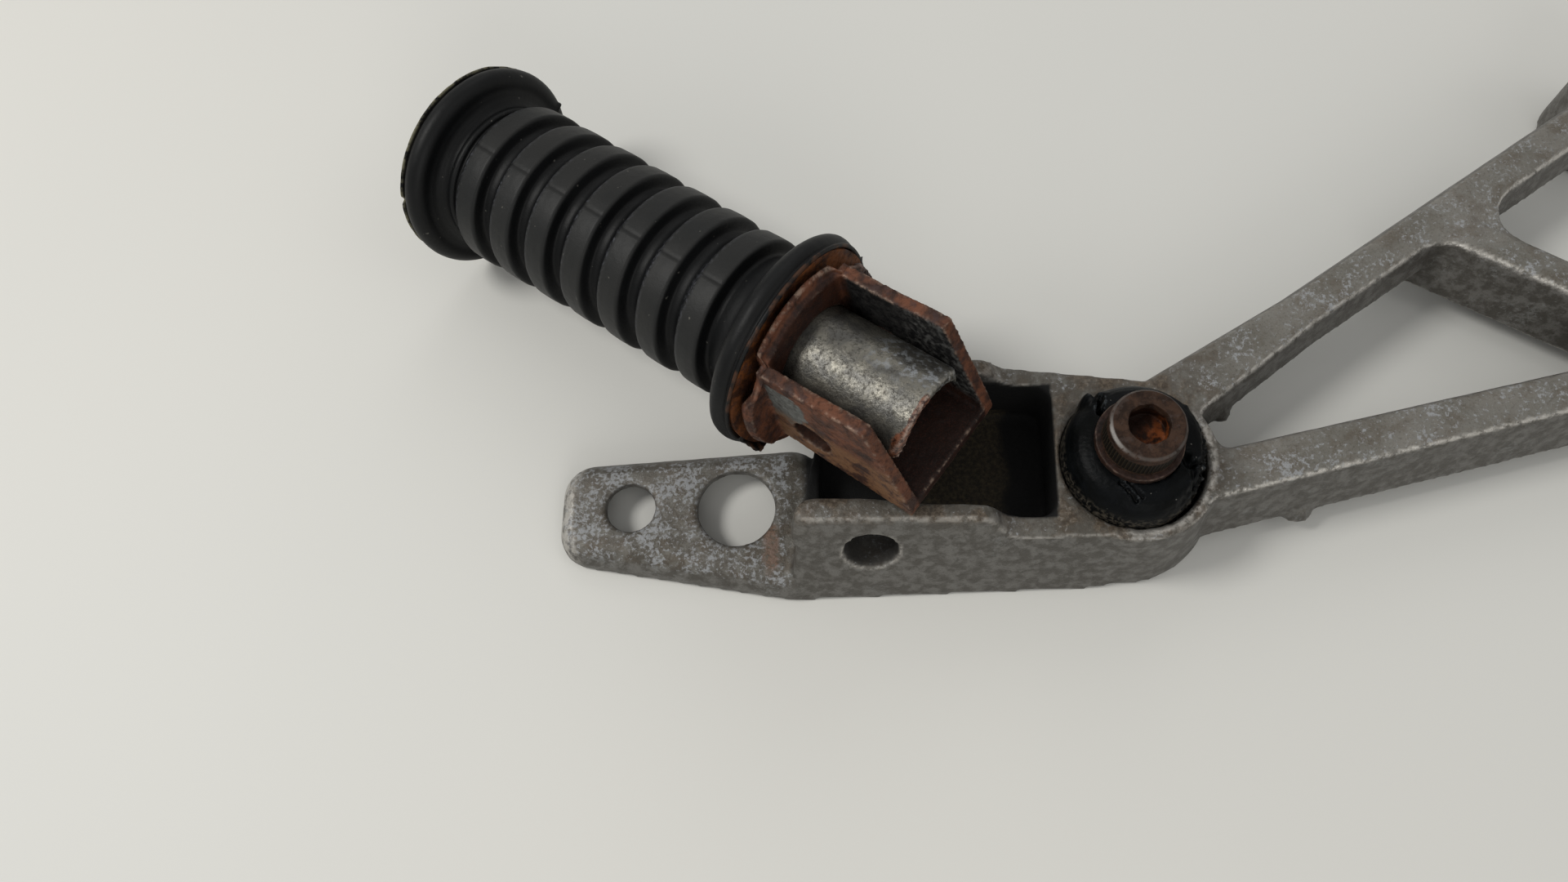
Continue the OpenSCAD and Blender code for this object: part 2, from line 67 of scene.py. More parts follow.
def smooth(x, low, high):
    t = np.clip((x - low) / (high - low), 0.0, 1.0)
    return t * t * (3 - 2 * t)


def speckle(points, size, seed=0.0):
    """Smooth noise of about -1 to 1 at each point, with blobs of a size in mm."""
    return np.array([noise.noise(Vector(p) / size + Vector((seed, seed, seed))) for p in points])


def link_mesh(name, mesh):
    obj = bpy.data.objects.new(name, mesh)
    scene.collection.objects.link(obj)
    return obj


def dress(obj, mat):
    obj.data.materials.clear()
    obj.data.materials.append(mat)


def bake(obj):
    """Turns an object's modifiers into its mesh."""
    depsgraph = bpy.context.evaluated_depsgraph_get()
    mesh = bpy.data.meshes.new_from_object(obj.evaluated_get(depsgraph))
    old = obj.data
    obj.modifiers.clear()
    obj.data = mesh
    bpy.data.meshes.remove(old)


def join_meshes(obj, others):
    """Adds the meshes of other objects to an object's mesh and removes them."""
    bm = bmesh.new()
    bm.from_mesh(obj.data)
    for other in others:
        bm.from_mesh(other.data)
        bpy.data.objects.remove(other)
    bm.to_mesh(obj.data)
    bm.free()


def finish_piece(obj, mat, node):
    """Dresses a piece, and the CAD node that it stands for."""
    dress(obj, mat)
    dress(NODES[node], mat)


def softened_copy(node, name, voxel, passes, extra=()):
    """A copy of a CAD node with its edges rounded off by wear. The voxel is in mm."""
    obj = link_mesh(name, NODES[node].data.copy())
    join_meshes(obj, extra)
    m = obj.modifiers.new("remesh", "REMESH")
    m.mode = "VOXEL"
    m.voxel_size = voxel * MM
    m = obj.modifiers.new("smooth", "SMOOTH")
    m.factor = 0.5
    m.iterations = passes
    bake(obj)
    obj.data.polygons.foreach_set("use_smooth", [True] * len(obj.data.polygons))
    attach(obj, "root")
    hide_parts(node)
    return obj


class Skin:
    """A mesh's points and normals in mm as arrays, with per-point values."""

    def __init__(self, obj, local=None):
        self.obj = obj
        self.mesh = obj.data
        n = len(self.mesh.vertices)
        co = np.empty(n * 3)
        self.mesh.vertices.foreach_get("co", co)
        self.co = co.reshape(n, 3) / MM
        no = np.empty(n * 3)
        self.mesh.vertices.foreach_get("normal", no)
        self.no = no.reshape(n, 3)
        ed = np.empty(len(self.mesh.edges) * 2, int)
        self.mesh.edges.foreach_get("vertices", ed)
        self.ed = ed.reshape(-1, 2)
        self.links = np.bincount(self.ed.ravel(), minlength=n)
        self.place = self.co
        self.facing = self.no
        if local is not None:
            back = np.array(local.inverted())
            self.place = self.co @ back[:3, :3].T + back[:3, 3] / MM
            self.facing = self.no @ back[:3, :3].T

    def spread(self, values):
        """Mean of each point's neighbours."""
        n = len(self.co)
        a, b = self.ed[:, 0], self.ed[:, 1]
        total = np.bincount(a, values[b], n) + np.bincount(b, values[a], n)
        return total / np.maximum(self.links, 1)

    def bulge(self, rounds=2):
        """How far each point stands proud of its neighbours, in mm."""
        mean = np.stack([self.spread(self.co[:, i]) for i in range(3)], 1)
        h = ((self.co - mean) * self.no).sum(1)
        for _ in range(rounds):
            h = (h + self.spread(h)) / 2
        return h

    def push(self, depth):
        """Moves each point out along its normal by a depth in mm."""
        self.co = self.co + self.no * depth[:, None]
        self.mesh.vertices.foreach_set("co", (self.co * MM).ravel())
        self.mesh.update()

    def shift(self, offsets):
        """Moves each point by three arrays of offsets in mm."""
        self.co = self.co + np.stack(offsets, 1)
        self.push(np.zeros(len(self.co)))

    def keep(self, name, values):
        attr = self.mesh.attributes.new(name, "FLOAT", "POINT")
        attr.data.foreach_set("value", np.clip(values, 0.0, 1.0))


# Camera: fitted to the photograph in the part's own frame

def make_camera():
    data = bpy.data.cameras.new("camera")
    data.sensor_width = 36.0
    data.lens = 28.125
    data.clip_start = 0.01
    data.clip_end = 10.0
    cam = bpy.data.objects.new("camera", data)
    scene.collection.objects.link(cam)
    right = Vector((0.9987853, 0.0177514, -0.0459647))
    up = Vector((0.0, 0.9328504, 0.3602640))
    back = Vector((0.0492734, -0.3598264, 0.9317173))
    spot = Vector((-5.18, -85.15, 246.0)) * MM
    turn = Matrix((right, up, back)).transposed().to_4x4()
    cam.matrix_world = Matrix.Translation(spot) @ turn
    scene.camera = cam


# Material building

class Mat:
    """Adds and links shader nodes. Lengths are in mm."""

    def __init__(self, name):
        self.mat = bpy.data.materials.new(name)
        self.mat.use_nodes = True
        self.tree = self.mat.node_tree
        self.bsdf = self.tree.nodes["Principled BSDF"]
        self.coord = self.tree.nodes.new("ShaderNodeTexCoord").outputs["Object"]

    def put(self, socket, value):
        if isinstance(value, bpy.types.NodeSocket):
            self.tree.links.new(value, socket)
        elif isinstance(value, tuple) and len(value) == 3 and len(socket.default_value) == 4:
            socket.default_value = (*value, 1.0)
        else:
            socket.default_value = value

    def add(self, kind, *values, **named):
        n = self.tree.nodes.new(kind)
        for i, value in enumerate(values):
            self.put(n.inputs[i], value)
        for key, value in named.items():
            self.put(n.inputs[key.replace("_", " ")], value)
        return n

    def stretched(self, x, y, z):
        return self.add("ShaderNodeMapping", Vector=self.coord, Scale=(x, y, z)).outputs[0]

    def noise(self, size, detail=4.0, rough=0.55, warp=0.0, vector=None):
        n = self.add("ShaderNodeTexNoise", Vector=vector or self.coord, Scale=1.0 / (size * MM),
                     Detail=detail, Roughness=rough, Distortion=warp)
        return n.outputs["Fac"]

    def value(self, name):
        n = self.tree.nodes.new("ShaderNodeAttribute")
        n.attribute_name = name
        return n.outputs["Fac"]

    def step(self, value, low, high):
        n = self.add("ShaderNodeMapRange", Value=value, From_Min=low, From_Max=high)
        n.interpolation_type = "SMOOTHSTEP"
        return n.outputs["Result"]

    def maths(self, op, a, b=0.0):
        n = self.add("ShaderNodeMath", a, b)
        n.operation = op
        return n.outputs[0]

    def times(self, *values):
        total = values[0]
        for v in values[1:]:
            total = self.maths("MULTIPLY", total, v)
        return total

    def mix(self, fac, a, b):
        n = self.tree.nodes.new("ShaderNodeMix")
        n.data_type = "RGBA"
        for i, value in ((0, fac), (6, a), (7, b)):
            self.put(n.inputs[i], value)
        return n.outputs[2]

    def blend(self, fac, a, b):
        """Mixes two plain numbers."""
        n = self.add("ShaderNodeMix", fac)
        self.put(n.inputs[2], a)
        self.put(n.inputs[3], b)
        return n.outputs[0]

    def finish(self, color, rough, metal=0.0, bumps=(), round_r=0.0, gloss=0.5):
        self.put(self.bsdf.inputs["Base Color"], color)
        self.put(self.bsdf.inputs["Roughness"], rough)
        self.put(self.bsdf.inputs["Metallic"], metal)
        self.put(self.bsdf.inputs["Specular IOR Level"], gloss)
        normal = None
        if round_r:
            b = self.add("ShaderNodeBevel", Radius=round_r * MM)
            b.samples = 6
            normal = b.outputs["Normal"]
        for height, depth in bumps:
            n = self.add("ShaderNodeBump", Height=height, Distance=depth * MM, Strength=1.0)
            if normal is not None:
                self.put(n.inputs["Normal"], normal)
            normal = n.outputs["Normal"]
        if normal is not None:
            self.put(self.bsdf.inputs["Normal"], normal)
        return self.mat


def casting_material():
    m = Mat("weathered_casting")
    cloud = m.noise(16.0, 3.0, 0.5)
    patch = m.noise(5.5, 5.0, 0.62, 0.2)
    dapple = m.noise(2.3, 5.0, 0.6, 0.2)
    fleck = m.noise(0.85, 6.0, 0.7, 0.3)
    grain = m.noise(0.5, 4.0, 0.65)
    grit = m.noise(0.22, 2.0, 0.6)
    # Brown-grey ground with a soft bluish white bloom in clusters
    low = m.mix(m.value("arm"), tone(76, 72, 65), tone(100, 97, 90))
    base = m.mix(m.step(cloud, 0.3, 0.7), low, m.mix(m.value("arm"), tone(92, 88, 82), tone(122, 119, 113)))
    base = m.mix(m.times(m.step(patch, 0.48, 0.62), 0.45), base, tone(84, 74, 62))
    base = m.mix(m.times(m.step(dapple, 0.45, 0.62), 0.45), base, tone(116, 115, 110))
    cluster = m.times(m.maths("SUBTRACT", m.noise(7.0, 3.0, 0.5), 0.5), 0.42)
    bloomed = m.maths("MAXIMUM", m.value("tab"), m.times(m.value("arm"), 0.45))
    seen = m.maths("ADD", m.maths("SUBTRACT", fleck, m.blend(bloomed, 0.59, 0.505)), cluster)
    bloom = m.step(seen, -0.02, 0.1)
    white = m.mix(grain, tone(124, 127, 131), tone(176, 178, 180))
    flat = m.mix(m.times(bloom, 0.8), base, white)
    # The sides are dappled
    wall = m.mix(m.step(dapple, 0.4, 0.64), tone(77, 74, 69), tone(105, 103, 99))
    wall = m.mix(m.times(m.step(seen, 0.0, 0.14), 0.5), wall, tone(132, 133, 131))
    color = m.mix(m.value("side"), flat, wall)
    color = m.mix(m.times(m.step(grain, 0.5, 0.7), 0.4), color, tone(50, 46, 41))
    # Brown dirt on the clevis rims and round the damper
    dirt = m.times(m.value("dirt"), m.step(patch, 0.4, 0.6))
    color = m.mix(m.times(dirt, 0.75), color, m.mix(m.step(fleck, 0.35, 0.65), tone(54, 44, 34), tone(104, 92, 78)))
    streak = m.times(m.value("streak"), m.step(fleck, 0.3, 0.6))
    color = m.mix(m.times(streak, 0.8), color, tone(112, 84, 66))
    # Edges rubbed bright by wear, with a painted highlight on the edges that face the lamps; hollows are darker
    wear_and_highlight = m.times(m.value("wear_and_highlight"), m.step(m.noise(1.8, 5.0, 0.65), 0.36, 0.58))
    color = m.mix(m.times(wear_and_highlight, 0.88), color, tone(208, 204, 197))
    color = m.mix(m.times(m.value("hollow"), 0.7), color, tone(40, 35, 29))
    # Painted shade: the clevis pocket, the pin hole and the damper seat go near black, and a painted lit patch gives
    # the pocket floor an olive tone
    painted_shade = m.value("painted_shade")
    lit_floor_patch = m.mix(m.step(fleck, 0.4, 0.65), tone(30, 25, 17), tone(60, 52, 36))
    color = m.mix(painted_shade, color, m.mix(m.value("lit_floor_patch"), tone(3, 3, 3), lit_floor_patch))
    rough = m.blend(bloom, 0.46, 0.66)
    rough = m.blend(wear_and_highlight, rough, 0.26)
    rough = m.blend(painted_shade, rough, 0.8)
    metal = m.times(m.blend(wear_and_highlight, 0.3, 0.85), m.maths("SUBTRACT", 1.0, painted_shade))
    bumps = ((grit, 0.03), (grain, 0.05), (fleck, 0.12), (patch, 0.22))
    return m.finish(color, rough, metal, bumps, 0.0, 0.35)


def rust_material(name, dark, orange, grey, rough=0.7):
    m = Mat(name)
    patch = m.noise(4.5, 5.0, 0.62, 0.3)
    grain = m.noise(1.3, 6.0, 0.68, 0.3)
    grit = m.noise(0.3, 3.0, 0.6)
    base = m.mix(m.step(patch, 0.36, 0.62), dark, orange)
    base = m.mix(m.times(m.step(grain, 0.46, 0.66), 0.55), base, tuple(c * 0.45 for c in dark))
    base = m.mix(m.times(m.step(m.noise(2.4, 4.0, 0.6), 0.54, 0.66), 0.6), base, tone(62, 46, 44))
    bare = m.step(m.maths("ADD", m.value("bare"), m.times(grain, 0.7)), 0.72, 0.92)
    base = m.mix(bare, base, m.mix(m.step(grain, 0.35, 0.65), tuple(c * 0.45 for c in grey), grey))
    base = m.mix(m.times(m.value("tan"), m.step(patch, 0.4, 0.56), 0.7), base, tone(112, 82, 56))
    # Inner faces: dark rust, deepened with painted shade between the ears and in the pin hole
    base = m.mix(m.times(m.value("shaded_inside"), 0.95), base,
                 m.mix(m.step(grit, 0.5, 0.78), m.mix(patch, tone(14, 8, 6), tone(34, 18, 13)), tone(66, 34, 25)))
    steel = m.mix(m.step(grain, 0.36, 0.66), tone(19, 19, 20), tone(40, 39, 38))
    steel = m.mix(m.times(m.value("deep_end"), m.step(grain, 0.45, 0.68), 0.8), steel, tone(84, 84, 82))
    base = m.mix(m.value("deep"), base, steel)
    wear_and_highlight = m.times(m.value("wear_and_highlight"), m.step(m.noise(1.6, 4.0, 0.6), 0.46, 0.62))
    base = m.mix(m.times(wear_and_highlight, 0.6), base, tone(158, 136, 120))
    base = m.mix(m.times(m.step(grit, 0.62, 0.78), 0.35), base, tone(16, 10, 8))
    rough_at = m.blend(m.step(grain, 0.4, 0.7), rough - 0.2, rough + 0.08)
    return m.finish(base, m.blend(wear_and_highlight, rough_at, 0.35), m.times(wear_and_highlight, 0.5),
                    ((grit, 0.04), (grain, 0.14)), 0.0, 0.22)


def zinc_material():
    m = Mat("worn_zinc")
    cloud = m.noise(5.0, 5.0, 0.65, 0.3)
    speck = m.noise(0.75, 5.0, 0.7)
    base = m.mix(m.step(cloud, 0.36, 0.64), tone(90, 89, 86), tone(124, 121, 112))
    base = m.mix(m.times(m.step(speck, 0.5, 0.64), 0.7), base, tone(60, 57, 52))
    frost = m.times(m.value("frost"), m.step(m.noise(1.5, 5.0, 0.65), 0.5, 0.62))
    base = m.mix(m.times(frost, 0.7), base, tone(168, 172, 176))
    rusty = m.step(m.maths("ADD", m.value("rusty"), m.times(cloud, 0.8)), 0.92, 1.06)
    base = m.mix(rusty, base, m.mix(m.step(speck, 0.4, 0.6), tone(48, 26, 18), tone(112, 66, 42)))
    wear_and_highlight = m.times(m.value("wear_and_highlight"), m.step(speck, 0.4, 0.6))
    base = m.mix(m.times(wear_and_highlight, 0.6), base, tone(176, 172, 162))
    return m.finish(base, m.blend(m.step(speck, 0.4, 0.65), 0.33, 0.55),
                    m.times(m.maths("SUBTRACT", 1.0, rusty), 0.8), ((speck, 0.1), (cloud, 0.15)))


def grip_material():
    m = Mat("grip_rubber")
    cloud = m.noise(16.0, 4.0, 0.6)
    grain = m.noise(0.8, 5.0, 0.65, 0.4)
    grit = m.noise(0.22, 2.0, 0.6)
    speck = m.noise(1.3, 2.0, 0.5)
    # Painted shade: everything but the rib crests is painted darker, shading the grooves
    dark = m.mix(m.step(cloud, 0.35, 0.65), tone(7, 8, 9), tone(14, 15, 16))
    base = m.mix(m.times(m.value("crest"), 0.85), dark, m.mix(m.step(cloud, 0.3, 0.7), tone(29, 30, 30), tone(37, 37, 36)))
    # Pale scuffs on the slopes up to each crest, partly a painted highlight
    scuff_sheen = m.times(m.value("scuff_and_sheen"), m.step(grain, 0.44, 0.66))
    base = m.mix(m.times(scuff_sheen, 0.75), base, m.mix(grit, tone(66, 68, 76), tone(112, 113, 120)))
    base = m.mix(m.times(m.value("tick"), 0.8), base, tone(12, 12, 12))
    base = m.mix(m.times(m.step(speck, 0.735, 0.76), 0.6), base, tone(96, 94, 88))
    rusty = m.times(m.value("stain"), m.step(m.noise(3.0, 4.0, 0.6), 0.42, 0.6))
    base = m.mix(m.times(rusty, 0.7), base, tone(74, 48, 32))
    pale = m.times(m.value("yellow"), m.step(m.noise(2.4, 5.0, 0.65), 0.4, 0.56))
    base = m.mix(m.times(pale, 0.8), base, m.mix(grain, tone(84, 82, 66), tone(142, 138, 112)))
    base = m.mix(m.value("crack"), base, tone(6, 6, 6))
    rough = m.blend(cloud, 0.42, 0.56)
    return m.finish(base, m.blend(scuff_sheen, rough, 0.75), 0.0, ((grit, 0.02), (grain, 0.05)), 0.0, 0.2)


def damper_material():
    m = Mat("damper_rubber")
    cloud = m.noise(6.0, 4.0, 0.6)
    grain = m.noise(0.9, 5.0, 0.65, 0.4)
    grit = m.noise(0.25, 2.0, 0.6)
    base = m.mix(m.step(cloud, 0.35, 0.65), tone(3, 4, 4), tone(9, 11, 13))
    base = m.mix(m.times(m.value("torn"), 0.8), base, tone(3, 3, 3))
    edge = m.times(m.value("wear_and_highlight"), m.step(grain, 0.46, 0.62))
    base = m.mix(m.times(edge, 0.5), base, tone(72, 76, 80))
    dust = m.times(m.value("dust"), m.step(grain, 0.45, 0.62))
    base = m.mix(m.times(dust, 0.5), base, tone(88, 82, 72))
    base = m.mix(m.times(m.step(m.noise(0.9, 1.0, 0.5), 0.77, 0.79), 0.7), base, tone(110, 108, 104))
    return m.finish(base, m.blend(cloud, 0.34, 0.48), 0.0, ((grit, 0.02), (grain, 0.07)), 0.0, 0.07)


def bolt_material(center):
    """Rusty screw with a straight knurl round its head."""
    m = Mat("bolt_steel")
    parts = m.add("ShaderNodeSeparateXYZ", m.coord)
    x = m.maths("SUBTRACT", parts.outputs[0], center[0] * MM)
    y = m.maths("SUBTRACT", parts.outputs[1], center[1] * MM)
    turns = m.maths("ARCTAN2", y, x)
    ridge = m.maths("SINE", m.times(turns, 62.0))
    knurl = m.times(ridge, m.value("knurl"))
    patch = m.noise(2.6, 5.0, 0.62, 0.3)
    grain = m.noise(0.9, 6.0, 0.68, 0.3)
    grit = m.noise(0.3, 3.0, 0.6)
    base = m.mix(m.step(patch, 0.36, 0.64), tone(35, 24, 18), tone(60, 43, 33))
    base = m.mix(m.times(m.step(grain, 0.5, 0.68), 0.55), base, tone(26, 16, 12))
    base = m.mix(m.times(m.step(m.noise(1.9, 4.0, 0.6), 0.54, 0.66), 0.5), base, tone(66, 56, 52))
    side = m.mix(grain, tone(10, 8, 6), tone(26, 22, 16))
    side = m.mix(m.times(m.step(ridge, 0.0, 0.8), 0.5), side, tone(54, 46, 33))
    base = m.mix(m.times(m.value("knurl"), 0.97), base, side)
    # Rust in the socket, painted lit on its lower right side and in painted shade elsewhere
    socket_lit_rust = m.maths("MULTIPLY", m.value("socket_lit_rust"), m.step(m.noise(1.7, 4.0, 0.55), 0.38, 0.62))
    inner = m.mix(socket_lit_rust, m.mix(grain, tone(12, 6, 3), tone(42, 20, 9)), tone(114, 60, 28))
    base = m.mix(m.value("socket"), base, inner)
    # Painted highlight: a bright crescent on the head's top edge, strongest on the side toward the left lamp, partly
    # real wear
    wear_and_highlight = m.times(m.value("wear_and_highlight"), m.step(m.noise(1.2, 4.0, 0.6), 0.3, 0.46))
    base = m.mix(m.times(wear_and_highlight, 0.9), base, tone(178, 174, 170))
    base = m.mix(m.times(m.step(grit, 0.62, 0.8), 0.3), base, tone(12, 8, 6))
    return m.finish(base, m.blend(grain, 0.45, 0.7), m.blend(wear_and_highlight, 0.08, 0.7),
                    ((m.times(knurl, 0.5), 0.3), (grain, 0.14)), 0.0, 0.14)


def floor_material():
    m = Mat("pale_floor")
    color = m.mix(m.step(m.noise(300.0, 2.0, 0.5), 0.3, 0.7), tone(204, 204, 200), tone(208, 207, 202))
    return m.finish(color, 0.6, 0.0)


# Pieces

def make_casting():
    obj = softened_copy("bracket_casting", "casting_skin", 0.66, 3)
    skin = Skin(obj)
    x, y, z = skin.co.T
    nx, ny, nz = skin.no.T
    proud = skin.bulge()
    ripple = speckle(skin.co, 5.0)
    chip = speckle(skin.co, 1.6, 40.0)
    edge = smooth(proud, 0.025, 0.09)
    skin.push(0.05 * ripple - 0.22 * edge * np.maximum(chip, 0.0))
    # The near rim is thicker and longer at its left end
    near_rim = smooth(-y, 11.0, 13.4) * smooth(20.5 + y, 0.0, 1.0) * smooth(z, 16.5, 20.5) * smooth(30.0 - x, 0.0, 8.0)
    left_part = smooth(12.0 - x, 0.0, 14.0)
    inner_side = smooth(ny, -0.2, 0.5)
    skin.shift((-1.3 * near_rim * smooth(-x, 9.0, 13.0) * smooth(-nx, -0.2, 0.6),
                near_rim * inner_side * (0.45 + 0.9 * left_part), 0.7 * near_rim * left_part * smooth(nz, -0.1, 0.6)))
    # Its left end is rounded
    x, y, z = skin.co.T
    wall_top = (y < -13.0) & (z > 19.0) & (x < 4.0)
    wall_end = x[wall_top].min()
    curve = 4.6
    u = np.maximum(wall_end + curve - x, 0.0)
    v = np.maximum(y + 12.5 + curve, 0.0)
    away = np.maximum(np.hypot(u, v), 0.01)
    over = np.maximum(away - curve, 0.0) * (y < -11.0) * (u > 0.0) * (v > 0.0) * smooth(z, 9.0, 13.0)
    skin.shift((over * u / away, -over * v / away, np.zeros(len(x))))
    x, y, z = skin.co.T
    in_tab = smooth(-x, 16.0, 17.5)
    skin.keep("tab", in_tab)
    skin.keep("arm", smooth(x, 60.0, 80.0))
    skin.keep("side", smooth(-nz, -0.75, -0.45))
    # Painted highlight: edge brightening is weighted toward faces turned to the front and right lamps, and the tab's
    # left tip toward the left lamp; the rest is real wear
    lit = np.clip(0.15 + 0.85 * smooth(0.35 * nx - ny, 0.0, 0.55), 0.0, 1.0)
    round_damper = np.hypot(x - 50.8, y + 1.7)
    rim_right = smooth(17.5 - round_damper, 0.0, 1.5) * smooth(x, 50.0, 58.0)
    tip = smooth(-58.0 - x, 0.0, 2.5) * smooth(nz, -0.1, 0.5)
    turned = smooth(nz, 0.42, 0.62) * smooth(0.9 - nz, 0.0, 0.14) * smooth(z, 17.0, 19.0)
    edges = np.maximum(smooth(proud, 0.045, 0.11), turned) * np.maximum(lit, rim_right)
    edges *= 0.38 + 0.62 * smooth(x, 60.0, 66.0)
    crust = smooth(16.3 - round_damper, 0.0, 1.2) * smooth(x - 0.6 * y, 57.0, 60.0) * smooth(z, 20.0, 20.6)
    from_pin = np.hypot(x, z - 16.8)
    ring = smooth(6.3 - from_pin, 0.0, 0.6) * smooth(from_pin, 5.2, 5.5) * smooth(-ny, 0.5, 0.8)
    edges = np.maximum(edges, np.maximum(0.75 * crust, 0.5 * ring))
    skin.keep("wear_and_highlight", np.maximum(edges, 0.7 * tip * smooth(-nx, 0.1, 0.6)))
    skin.keep("hollow", smooth(-proud, 0.02, 0.08))
    # Painted shade in the clevis pocket, the pin hole and the damper seat, with a painted lit patch on the pocket
    # floor
    in_pocket = smooth(13.9 - np.abs(y), 0.0, 0.25) * smooth(x, -14.5, -12.5) * smooth(36.2 - x, 0.0, 0.4)
    painted_shade = in_pocket * smooth(24.5 - z + 1.2 * ripple, 0.0, 2.5) * smooth(36.0 - x, 0.0, 0.4)
    in_hole = smooth(5.45 - np.hypot(x, z - 16.8), 0.0, 0.3) * smooth(np.abs(y), 13.5, 13.9)
    seat = smooth(14.6 - round_damper, 0.0, 0.2) * smooth(18.6 - z, 0.0, 1.5)
    skin.keep("painted_shade", np.maximum(np.maximum(painted_shade, 0.9 * in_hole), 0.9 * seat))
    skin.keep("lit_floor_patch", smooth(x + 2.0 * ripple, 8.0, 14.0) * smooth(29.0 - x + 1.5 * ripple, 0.0, 2.5)
              * smooth(9.0 - z, 0.0, 1.0))
    skin.keep("dirt", np.maximum(smooth(z, 21.3, 23.5), smooth(22.5 - round_damper, 0.0, 4.0))
              * smooth(nz, 0.2, 0.7) * smooth(70.0 - x, 0.0, 6.0) * smooth(x, -17.0, -15.0))
    along = np.hypot((x + 20.0) / 1.7, (y + 16.4) / 5.2)
    skin.keep("streak", smooth(1.15 - along + 0.35 * chip, 0.0, 0.4) * smooth(nz, 0.5, 0.8))
    finish_piece(obj, casting_material(), "bracket_casting")


def rest_skin(node, name, voxel, passes, extra=()):
    obj = softened_copy(node, name, voxel, passes, extra)
    return obj, Skin(obj, REST)


def make_yoke():
    # The end plate is a full disc and the far ear's hole has a short collar
    disc = lathe("disc", [(-15.9, 10.72), (-15.9, 17.2), (-14.9, 18.0), (-14.8, 19.0), (-14.6, 19.3),
                          (-14.0, 19.3), (-13.7, 19.0), (-13.7, 10.72), (-15.9, 10.72)], 96,
                 lambda s, r, a: (s, r), REST)
    hole = REST @ Matrix.Translation(Vector((-24.5, -13.0, -2.2)) * MM) @ Matrix.Rotation(-math.pi / 2, 4, "Z")
    collar = lathe("collar", [(0.0, 4.1), (0.0, 5.4), (2.6, 5.2), (2.8, 4.9), (2.8, 4.1), (0.0, 4.1)], 48,
                   lambda s, r, a: (s, r), hole)
    obj, skin = rest_skin("peg_yoke", "yoke_skin", 0.36, 2, (disc, collar))
    s, y, z = skin.place.T
    ns, ny, nz = skin.facing.T
    proud = skin.bulge()
    # The ears' top edges start at the plate's front face
    back = smooth(s, -16.6, -14.6) * smooth(np.abs(y), 10.6, 11.4) * smooth(z, 6.0, 11.0)
    lower = -0.7 * smooth(z, 10.0, 14.0) * smooth(-s, 13.0, 15.0) * smooth(36.0 + s, 0.0, 10.0)
    turn = np.array(REST)[:3, :3]
    skin.shift((np.stack([-1.9 * back, np.zeros(len(s)), lower - 0.6 * back], 1) @ turn.T).T)
    skin.push(0.05 * speckle(skin.co, 2.5) - 0.1 * np.maximum(speckle(skin.co, 0.9), 0.0))
    ears = smooth(-15.9 - s, 0.0, 1.0)
    skin.keep("wear_and_highlight", smooth(proud, 0.012, 0.05))
    # Painted shade on the inner faces between the ears, the end plate's face and the pin hole, over dark rust
    between = smooth(11.2 - np.abs(y), 0.0, 0.6) * smooth(-15.5 - s, 0.0, 0.8)
    from_hole = np.hypot(s + 24.5, z + 2.2)
    in_hole = smooth(4.5 - from_hole, 0.0, 0.4) * smooth(np.abs(y), 10.9, 11.2)
    face = smooth(-14.9 - s, 0.0, 0.4) * smooth(s, -16.6, -16.2) * smooth(11.0 - np.abs(y), 0.0, 2.0)
    skin.keep("shaded_inside", np.maximum(np.maximum(between * smooth(2.0 - z, 0.0, 2.0), 0.5 * between),
                                   np.maximum(0.85 * in_hole, 0.85 * face)))
    deep = smooth(-y, 9.0, 10.0) * smooth(ny, 0.4, 0.8) * smooth(-16.0 - s, 0.0, 2.0)
    skin.keep("deep", deep * smooth(z + 2.5 - 0.3 * (s + 30.0), -2.0, 1.5))
    skin.keep("deep_end", smooth(-28.0 - s, 0.0, 5.0))
    outer = smooth(y, 12.9, 13.3) * ears
    ripple = speckle(skin.co, 3.0, 14.0)
    skin.keep("bare", 0.55 * outer * smooth(s + 27.0 + 1.8 * ripple, 0.0, 4.0) * smooth(z + 1.8 * ripple, -3.0, 1.0)
              * smooth(12.9 - z, 0.0, 1.5) + 0.1 * smooth(np.abs(y), 12.5, 13.2))
    skin.keep("tan", outer * np.maximum(smooth(4.0 - z, 0.0, 4.0), smooth(7.0 - from_hole, 0.0, 2.0)))
    finish_piece(obj, rust_material("yoke_steel", tone(50, 33, 27), tone(98, 60, 42), tone(100, 101, 98)), "peg_yoke")


def make_core():
    obj, skin = rest_skin("peg_core", "core_skin", 0.55, 3)
    s, y, z = skin.place.T
    proud = skin.bulge()
    skin.push(0.04 * speckle(skin.co, 3.0))
    skin.keep("wear_and_highlight", smooth(proud, 0.02, 0.07))
    end = skin.place[:, 0].min()
    low_end = smooth(-30.0 - s, 0.0, 8.0) * smooth(y, 5.0, 9.0)
    strip = np.clip(y + 14.0, 0.0, 27.0).astype(int)
    ends = np.zeros(28)
    np.minimum.at(ends, strip, s)
    fringe = smooth(1.7 - (s - ends[strip]), 0.0, 1.2) * smooth(y, -4.0, 1.0) * smooth(-s, 24.0, 26.0)
    skin.keep("rusty", np.maximum(0.42 * smooth(end + 3.5 - s, 0.0, 3.5) * smooth(y, -4.0, 4.0) + 0.5 * low_end
                                  + 0.25 * smooth(3.0 - z, 0.0, 3.0), 0.72 * fringe))
    skin.keep("frost", smooth(-26.0 - s, 0.0, 5.0) * smooth(-y, -2.0, 4.0))
    finish_piece(obj, zinc_material(), "peg_core")


